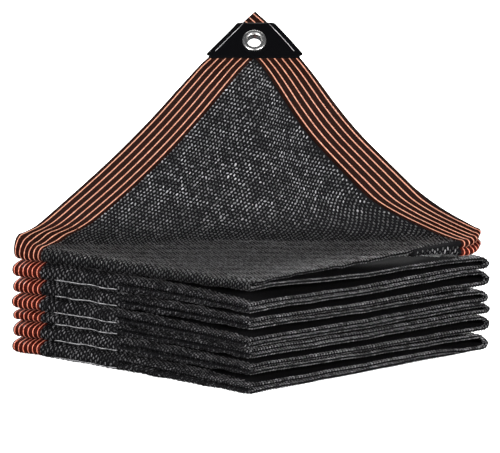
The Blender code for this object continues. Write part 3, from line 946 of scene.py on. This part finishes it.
def stitches(grid, name, along, reach, material, chance, rounded=True):
    """Grains of yarn at those places, each turned and sized a little unlike its neighbours.

    Where rounded is true they go round the near right edge of the cloth, else they lie on the grid.
    """
    count = len(along)
    shape = grain_points()
    size = 1 + GRAIN_SPREAD * chance.standard_normal(count)
    twist = GRAIN_TWIST * np.where(np.arange(count) % 2, 1, -1) + TWIST_SPREAD * chance.standard_normal(count)
    tilt = GRAIN_TILT * chance.standard_normal((count, 2))
    u = shape[None, :, 0] * size[:, None]
    v = shape[None, :, 1] * size[:, None]
    turned_u = u * np.cos(twist)[:, None] - v * np.sin(twist)[:, None]
    turned_v = u * np.sin(twist)[:, None] + v * np.cos(twist)[:, None]
    high = shape[None, :, 2] + GRAIN_RAISE + tilt[:, :1] * turned_u + tilt[:, 1:] * turned_v
    across, height = reach[:, None] + turned_v, NET_HALF + high
    if rounded:
        across, height = round_edge(across, high)
    points = on_grid(grid, along[:, None] + turned_u, across, height)
    faces = grain_faces()[None] + (np.arange(count) * len(shape))[:, None, None]
    place = stack(along[:, None] + turned_u, reach[:, None] + turned_v, np.arange(count)[:, None] * 1.0)
    return mesh_piece(
        name, keep_off_floor(points).reshape(-1, 3), faces.reshape(-1, 3), material, place.reshape(-1, 3))


def lattice(from_along, to_along, from_reach, to_reach):
    """The places of the stitches between two distances along the cloth and two from its edge."""
    first, last = math.ceil((from_reach - KNIT_EDGE) / WALE), math.floor((to_reach - KNIT_EDGE) / WALE)
    start, end = math.ceil((from_along - KNIT_START) / STITCH), math.floor((to_along - KNIT_START) / STITCH)
    wale, course = np.meshgrid(np.arange(first, last + 1), np.arange(start, end + 1))
    along = KNIT_START + (course + 0.5 * (wale % 2)) * STITCH
    return along.ravel(), (KNIT_EDGE + wale * WALE).ravel()


def fold_rows(grid, leaf):
    """The distances along the cloth at the rows of the fold after that leaf."""
    return [a for row, a in zip(grid.rows, grid.along) if row.kind == "fold" and row.leaf == leaf]


def fold_highlight_lines(grid, material):
    """Painted highlight: the pale raised line along the underside of each front fold, near the left corner,
    where its lower rim catches the light.
    """
    across, up = line_profile()
    width = np.linspace(FOLD_HIGHLIGHT_START * WIDTH, FOLD_HIGHLIGHT_END * WIDTH, FOLD_HIGHLIGHT_STATIONS)
    high = NET_HALF + FOLD_HIGHLIGHT_PROUD + FOLD_HIGHLIGHT_THICK * up
    shape = Shape()
    for leaf in range(2, LAST_LEAF, 2):
        along = fold_rows(grid, leaf)[FOLD_ANGLES.index(FOLD_HIGHLIGHT_ANGLE)]
        places = np.broadcast_arrays(along + FOLD_HIGHLIGHT_THICK * across, width[:, None], high)
        shape.loft(keep_off_floor(on_grid(grid, *places)), stack(*places), flip=True)
    return shape.piece("fold_highlight_lines", material)


def shows_behind(along, reach, start):
    """Which stitches of the second leaf the lifted corner leaves bare, with a little to spare."""
    _, rise = flat_place(along - start, -math.pi * NET_HALF - reach)
    return rise > BARE_FROM


def knit(grid, bright, crease_shaded, plain, fold_shaded_yarn):
    """The stitches wherever the cloth shows, as a mesh for each face of the pile."""
    chance = np.random.default_rng(SEED)
    under = -math.pi * NET_HALF
    behind = (under - KNIT_EDGE, under - EDGE_INSIDE - EDGE_APART)
    folds = [fold_rows(grid, leaf) for leaf in range(LAST_LEAF)]
    spans = [(rows[0], rows[-1]) for rows in folds]
    inside = [(start - FOLD_INSIDE, end + FOLD_INSIDE) for start, end in spans]
    top_end = spans[0][1] + FOLD_PAST
    cloth_end = grid.along[-1] - END_SPARE
    lying = [a for row, a in zip(grid.rows, grid.along) if row.kind == "top" and row.share < CREASE_DEPTH]
    pieces = []

    def add(name, material, places):
        along = np.concatenate([p[0] for p in places])
        reach = np.concatenate([p[1] for p in places])
        pieces.append(stitches(grid, name, along, reach, material, chance))

    # Painted shade: the yarns are lit and shaded copies of one, darker on the left fold ends, the near right
    # edges and the lying part of the top leaf
    add("knit_top", crease_shaded, [lattice(KNIT_START, top_end, -EDGE_APART, KNIT_EDGE)])
    add("knit_back", bright, [
        lattice(KNIT_START, lying[0] + BACK_PAST, under - KNIT_EDGE, under - EDGE_APART)])
    add("knit_left_folds", fold_shaded_yarn, [
        lattice(*span, EDGE_INSIDE + EDGE_APART, KNIT_EDGE) for span in inside[2::2]])
    add("knit_far_folds", bright, [lattice(*span, *behind) for span in inside[1::2]])
    add("knit_right_edges", plain, [
        lattice(KNIT_START, cloth_end, under - EDGE_INSIDE, -EDGE_APART),
        lattice(top_end, cloth_end, -EDGE_APART, EDGE_INSIDE)])
    start, end = spans[0][1], spans[1][0]
    along, reach = lattice(start, end, *behind)
    bare = shows_behind(along, reach, start)
    add("knit_second_leaf", bright, [(along[bare], reach[bare])])
    rolled = roll_grid()
    roll_end = rolled.along[-1] - ROLL_SPARE
    along, reach = lattice(END_SPARE, roll_end, ROLL_START + END_SPARE, END_TAPE_EDGE - EDGE_APART)
    pieces.append(stitches(rolled, "knit_roll", along, reach, plain, chance, rounded=False))
    return pieces


def shader(name, color, roughness, metallic=0.0, specular=0.5):
    material = bpy.data.materials.new(name)
    material.use_nodes = True
    principled = material.node_tree.nodes["Principled BSDF"]
    principled.inputs["Base Color"].default_value = (*color, 1.0)
    principled.inputs["Roughness"].default_value = roughness
    principled.inputs["Metallic"].default_value = metallic
    principled.inputs["Specular IOR Level"].default_value = specular
    return material, material.node_tree, principled


def place_node(tree):
    node = tree.nodes.new("ShaderNodeAttribute")
    node.attribute_name = "place"
    return node.outputs["Vector"]


def noise(tree, scales, detail=2.0):
    """Noise by the place on the cloth, with a scale for each of its directions."""
    spot = tree.nodes.new("ShaderNodeVectorMath")
    spot.operation = "MULTIPLY"
    tree.links.new(place_node(tree), spot.inputs[0])
    spot.inputs[1].default_value = scales
    node = tree.nodes.new("ShaderNodeTexNoise")
    node.inputs["Scale"].default_value = 1.0
    node.inputs["Detail"].default_value = detail
    tree.links.new(spot.outputs["Vector"], node.inputs["Vector"])
    return node.outputs["Fac"]


def uneven_gloss(tree, principled, scales, low, high):
    """A roughness between two values, by noise."""
    node = tree.nodes.new("ShaderNodeMapRange")
    node.inputs["To Min"].default_value = low
    node.inputs["To Max"].default_value = high
    tree.links.new(noise(tree, scales), node.inputs["Value"])
    tree.links.new(node.outputs["Result"], principled.inputs["Roughness"])


def ramp_node(tree, value, stops):
    node = tree.nodes.new("ShaderNodeValToRGB")
    for element, (position, color) in zip(node.color_ramp.elements, stops):
        element.position = position
        element.color = (*color, 1.0)
    tree.links.new(value, node.inputs["Fac"])
    return node.outputs["Color"]


def share_between(tree, value, low, high):
    node = tree.nodes.new("ShaderNodeMapRange")
    node.inputs["From Min"].default_value = low
    node.inputs["From Max"].default_value = high
    tree.links.new(value, node.inputs["Value"])
    return node.outputs["Result"]


def blended(tree, share, low, high):
    node = tree.nodes.new("ShaderNodeMix")
    node.data_type = "RGBA"
    tree.links.new(share, node.inputs["Factor"])
    tree.links.new(low, node.inputs["A"])
    tree.links.new(high, node.inputs["B"])
    return node.outputs["Result"]


def bump(tree, principled, height, strength, distance):
    node = tree.nodes.new("ShaderNodeBump")
    node.inputs["Strength"].default_value = strength
    node.inputs["Distance"].default_value = distance
    tree.links.new(height, node.inputs["Height"])
    tree.links.new(node.outputs["Normal"], principled.inputs["Normal"])


def crease_shade_mask(tree):
    """The mask of painted shade on the top leaf: 0 where it lies and in its crease, which are painted darker,
    and 1 where it stands up, by its place on the cloth.
    """
    reached = tree.nodes.new("ShaderNodeVectorMath")
    reached.operation = "DOT_PRODUCT"
    tree.links.new(place_node(tree), reached.inputs[0])
    reached.inputs[1].default_value = (-math.sin(TURN), math.cos(TURN), 0.0)
    level = WIDTH / 2 * math.cos(TURN) - DEPTH / 2 * math.sin(TURN)
    return share_between(tree, reached.outputs["Value"], level + CREASE_DARK_END, level + CREASE_BRIGHT)


def yarn_material(name, strength, crease_shaded=False):
    """Glossy yarn, each stitch a little brighter or darker than the next. Strength is painted light and
    shade, scaling colour and specular level; the crease option adds painted shade where the top leaf lies.
    """
    material, tree, principled = shader(name, (0.08, 0.078, 0.082), 0.3, specular=0.6 * strength)
    patchy = noise(tree, (0.03, 0.03, 0.37))

    def stops(share):
        low, high = 0.016 * share, 0.42 * share
        return (0.40, (low, 0.97 * low, 1.03 * low)), (0.76, (high, 0.98 * high, 1.02 * high))

    color = ramp_node(tree, patchy, stops(strength))
    # Painted shade: darker yarn where the top leaf lies and in its crease
    if crease_shaded:
        lying = ramp_node(tree, patchy, stops(LYING_SHADE_SHARE))
        color = blended(tree, crease_shade_mask(tree), lying, color)
    tree.links.new(color, principled.inputs["Base Color"])
    uneven_gloss(tree, principled, (0.4, 0.4, 0.9), 0.20, 0.42)
    return material


def ground_material():
    material, tree, principled = shader("net_ground", (0.003, 0.003, 0.003), 0.8, specular=0.04)
    fine = noise(tree, (0.9, 0.9, 0.9), 3.0)
    color = ramp_node(tree, fine, ((0.35, (0.0015, 0.0015, 0.0018)), (0.75, (0.008, 0.0078, 0.0085))))
    tree.links.new(color, principled.inputs["Base Color"])
    bump(tree, principled, fine, 0.6, 0.0006)
    return material


def tape_material():
    material, tree, principled = shader("tape_ground", (0.02, 0.008, 0.005), 0.7, specular=0.04)
    fine = noise(tree, (1.1, 1.1, 0.3), 3.0)
    # Painted bounce light: past the first fold the dark ground is brighter and redder, for the red light
    # bounced between the tape's lines
    flat = ramp_node(tree, fine, ((0.35, (0.0035, 0.001, 0.0006)), (0.75, (0.018, 0.0052, 0.003))))
    folded = ramp_node(tree, fine, ((0.35, (0.012, 0.0018, 0.001)), (0.75, (0.060, 0.008, 0.005))))
    tree.links.new(fold_bounce_light(tree, flat, folded), principled.inputs["Base Color"])
    bump(tree, principled, fine, 0.5, 0.0004)
    return material


def fold_bounce_light(tree, flat, folded):
    """Painted bounce light and shade: one colour where the cloth lies open and a redder one past the first
    fold, by distance along it.
    """
    apart = tree.nodes.new("ShaderNodeSeparateXYZ")
    tree.links.new(place_node(tree), apart.inputs[0])
    past = share_between(tree, apart.outputs["X"], FOLD_BOUNCE_LIGHT_FROM, FOLD_BOUNCE_LIGHT_FULL)
    return blended(tree, past, flat, folded)


def line_material():
    material, tree, principled = shader("tape_line", (0.72, 0.22, 0.12), 0.5, specular=0.35)
    twisted = noise(tree, (0.8, 0.5, 0.0), 3.0)
    # Painted shade and bounce light: past the first fold the lines are a deeper red
    flat = ramp_node(tree, twisted, ((0.3, (0.30, 0.095, 0.052)), (0.7, (0.60, 0.29, 0.19))))
    folded = ramp_node(tree, twisted, ((0.3, (0.36, 0.06, 0.03)), (0.7, (0.66, 0.20, 0.12))))
    tree.links.new(fold_bounce_light(tree, flat, folded), principled.inputs["Base Color"])
    principled.inputs["Sheen Weight"].default_value = 0.15
    bump(tree, principled, twisted, 0.4, 0.0003)
    return material


def highlight_line_material():
    # Painted highlight: pale grey lines, brighter and darker by noise along their length, standing in for the
    # highlights on the fold ends and beside the patch's folded sides
    material, tree, principled = shader("pale_line_painted_highlight", (0.35, 0.34, 0.35), 0.45)
    highlight_fade = noise(tree, (0.0, 0.12, 0.0))
    color = ramp_node(tree, highlight_fade, ((0.3, (0.10, 0.10, 0.105)), (0.7, (0.55, 0.54, 0.55))))
    tree.links.new(color, principled.inputs["Base Color"])
    return material


def plastic_material():
    material, tree, principled = shader("patch_plastic", (0.0015, 0.0015, 0.0018), 0.25, specular=0.12)
    uneven_gloss(tree, principled, (0.12, 0.12, 0.12), 0.14, 0.26)
    bump(tree, principled, noise(tree, (1.6, 1.6, 1.6), 3.0), 0.15, 0.0002)
    return material


def metal_material():
    material, tree, principled = shader("eyelet_metal", (0.74, 0.73, 0.71), 0.28, metallic=1.0)
    uneven_gloss(tree, principled, (0.6, 0.6, 0.6), 0.18, 0.34)
    return material


def area_light(light):
    data = bpy.data.lights.new(light.name, "AREA")
    data.shape = "RECTANGLE"
    data.size, data.size_y = light.size
    data.energy = light.power
    lamp = bpy.data.objects.new(light.name, data)
    lamp.location = light.place
    towards = Vector((0.0, 0.0, light.aim_height)) - Vector(light.place)
    lamp.rotation_euler = towards.to_track_quat("-Z", "Y").to_euler()
    bpy.context.scene.collection.objects.link(lamp)


def surroundings():
    """A dim sky that lights the cloth, and white in its place where the camera sees past the floor."""
    world = bpy.data.worlds.new("studio")
    world.use_nodes = True
    tree = world.node_tree
    background = tree.nodes["Background"]
    background.inputs["Color"].default_value = SKY_COLOR
    background.inputs["Strength"].default_value = SKY_STRENGTH
    white = tree.nodes.new("ShaderNodeBackground")
    white.inputs["Color"].default_value = WHITE
    white.inputs["Strength"].default_value = WHITE_STRENGTH
    path = tree.nodes.new("ShaderNodeLightPath")
    either = tree.nodes.new("ShaderNodeMixShader")
    tree.links.new(path.outputs["Is Camera Ray"], either.inputs["Fac"])
    tree.links.new(background.outputs["Background"], either.inputs[1])
    tree.links.new(white.outputs["Background"], either.inputs[2])
    tree.links.new(either.outputs["Shader"], tree.nodes["World Output"].inputs["Surface"])
    bpy.context.scene.world = world


def white_floor():
    """A wide white floor, which the cloth neither mirrors nor takes light from."""
    material, _, principled = shader("floor", (0.86, 0.86, 0.86), 0.9, specular=0.1)
    principled.inputs["Emission Color"].default_value = WHITE
    principled.inputs["Emission Strength"].default_value = FLOOR_GLOW
    corners = FLOOR_HALF * np.array([(-1.0, -1.0, 0.0), (1.0, -1.0, 0.0), (1.0, 1.0, 0.0), (-1.0, 1.0, 0.0)])
    floor = mesh_piece("floor", corners, np.array([[0, 1, 2, 3]]), material)
    floor.visible_diffuse = False
    floor.visible_glossy = False


def view():
    """The camera, at the photograph's angle and far off."""
    data = bpy.data.cameras.new("camera")
    data.sensor_width = SENSOR
    data.lens = SENSOR * CAMERA_DISTANCE / FRAME_WIDTH
    data.clip_end = CAMERA_DISTANCE * 4
    camera = bpy.data.objects.new("camera", data)
    towards = Vector((0.0, math.cos(ELEVATION), -math.sin(ELEVATION)))
    camera.location = AIM - towards * CAMERA_DISTANCE
    camera.rotation_euler = towards.to_track_quat("-Z", "Y").to_euler()
    bpy.context.scene.collection.objects.link(camera)
    bpy.context.scene.camera = camera
    bpy.context.scene.view_settings.view_transform = "Standard"


def main():
    for old in list(bpy.data.objects):
        bpy.data.objects.remove(old, do_unlink=True)
    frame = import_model()
    surroundings()
    for light in LIGHTS:
        area_light(light)
    white_floor()
    view()

    highlight_line = highlight_line_material()
    # Lit and shaded copies of one yarn, as painted shade: full, full with painted shade where the top leaf
    # lies, less on the near right edges and roll, least on the left fold ends
    bright = yarn_material("net_yarn", 1.0)
    crease_shaded = yarn_material("net_yarn_crease_shaded", 1.0, crease_shaded=True)
    plain = yarn_material("net_yarn_edges_shaded", 0.65)
    fold_shaded_yarn = yarn_material("net_yarn_folds_shaded", 0.32)
    ground = ground_material()
    tape = tape_material()
    line = line_material()
    grid = cloth_grid()
    net = net_ground(grid, ground)
    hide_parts("net_panel")
    knits = knit(grid, bright, crease_shaded, plain, fold_shaded_yarn)
    knits.append(fold_highlight_lines(grid, highlight_line))
    rows = side_rows(grid)
    side = folded_tape("side_tape", grid, rows, WIDTH, tape, flip=True)
    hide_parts("edge_tape_side")
    side_line = tape_lines("tape_lines_side", grid, rows, WIDTH, line)
    last = end_grid()
    end = folded_tape("end_tape", last, last.along, DEPTH, tape)
    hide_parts("edge_tape_end")
    end_line = tape_lines("tape_lines_end", last, last.along, DEPTH, line)
    for piece in (net, *knits, side, side_line, end, end_line):
        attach(piece, "root")

    metal = metal_material()
    patch = corner_patch(plastic_material())
    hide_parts("corner_patch")
    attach(patch, "root")
    patch_highlights = patch_highlight_lines(highlight_line)
    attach(patch_highlights, "root")
    ring = eyelet(metal)
    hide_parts("eyelet")
    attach(ring, "root")
    washer = frame["nodes"]["eyelet_washer"]
    washer.data.materials.clear()
    washer.data.materials.append(metal)


main()
